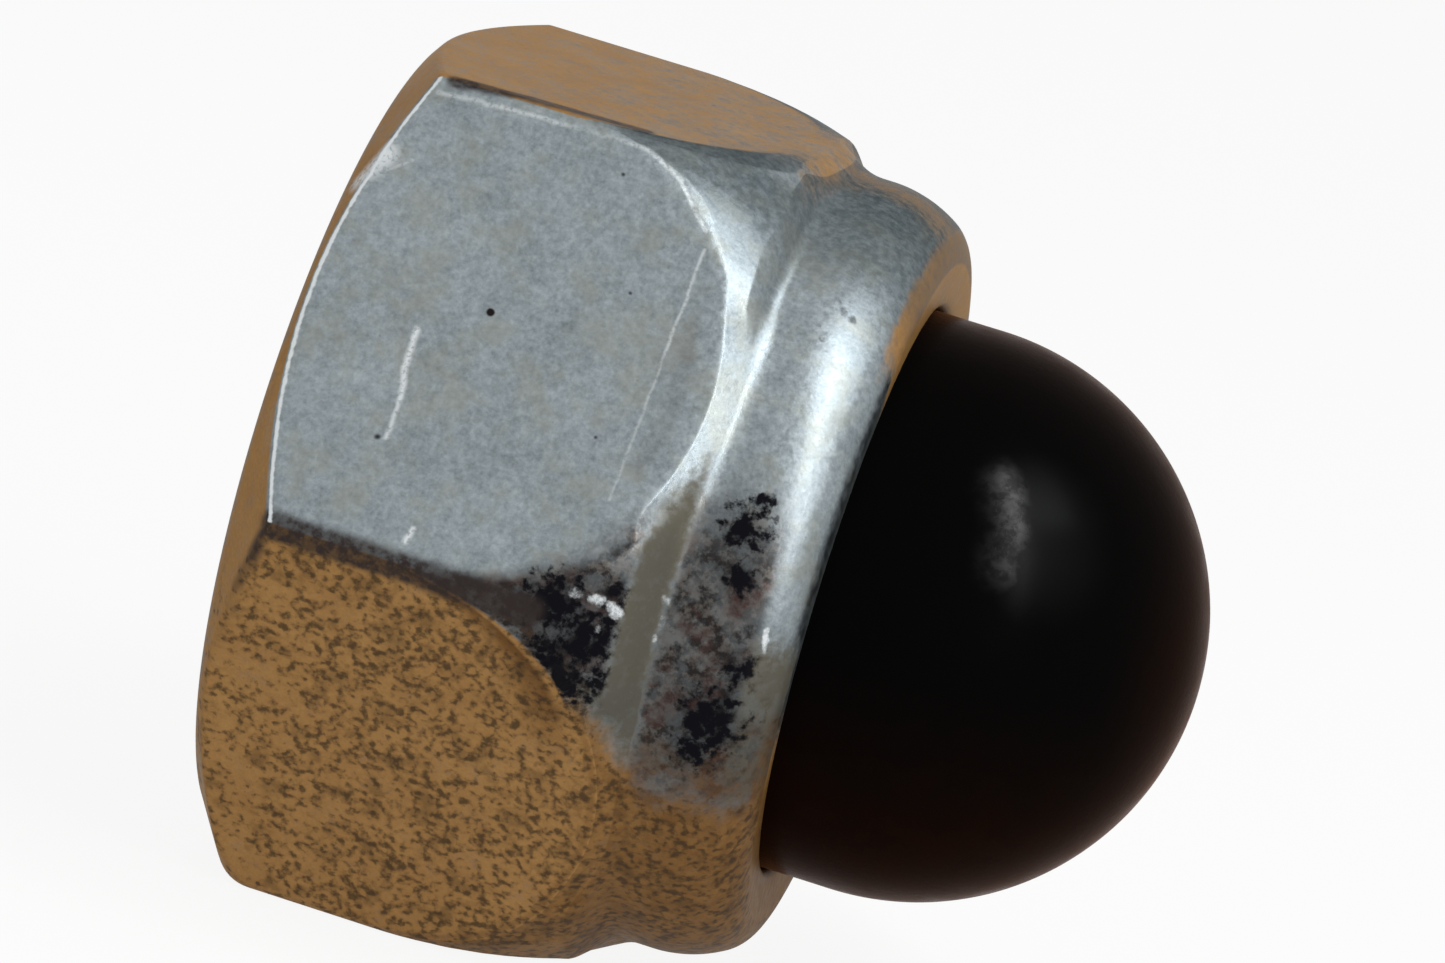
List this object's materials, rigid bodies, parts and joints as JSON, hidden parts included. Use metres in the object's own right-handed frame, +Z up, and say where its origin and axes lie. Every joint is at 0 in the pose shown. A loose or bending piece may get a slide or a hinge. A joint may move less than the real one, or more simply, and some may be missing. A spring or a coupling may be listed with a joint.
{
  "type": "domed lock nut",
  "caption": "Self-locking hexagon nut: plated steel body with a round collar rolled over a closed black nylon dome that grips and covers the bolt end.",
  "frame": {"origin": "centre of the bearing face, on the thread axis", "axes": "+X along the thread axis from the bearing face to the dome; +Z up, square to the flat that the nut lies on; +Y through two corners of the hexagon"},
  "size_m": [0.0141, 0.015, 0.013],
  "materials": {
    "plated_steel": "zinc plated, worn, with a warm brown stain and dark specks",
    "black_nylon": "moulded, satin, lightly scuffed"
  },
  "bodies": {
    "root": {"nut_body": "plated_steel", "dome_insert": "black_nylon"}
  },
  "joints": []
}
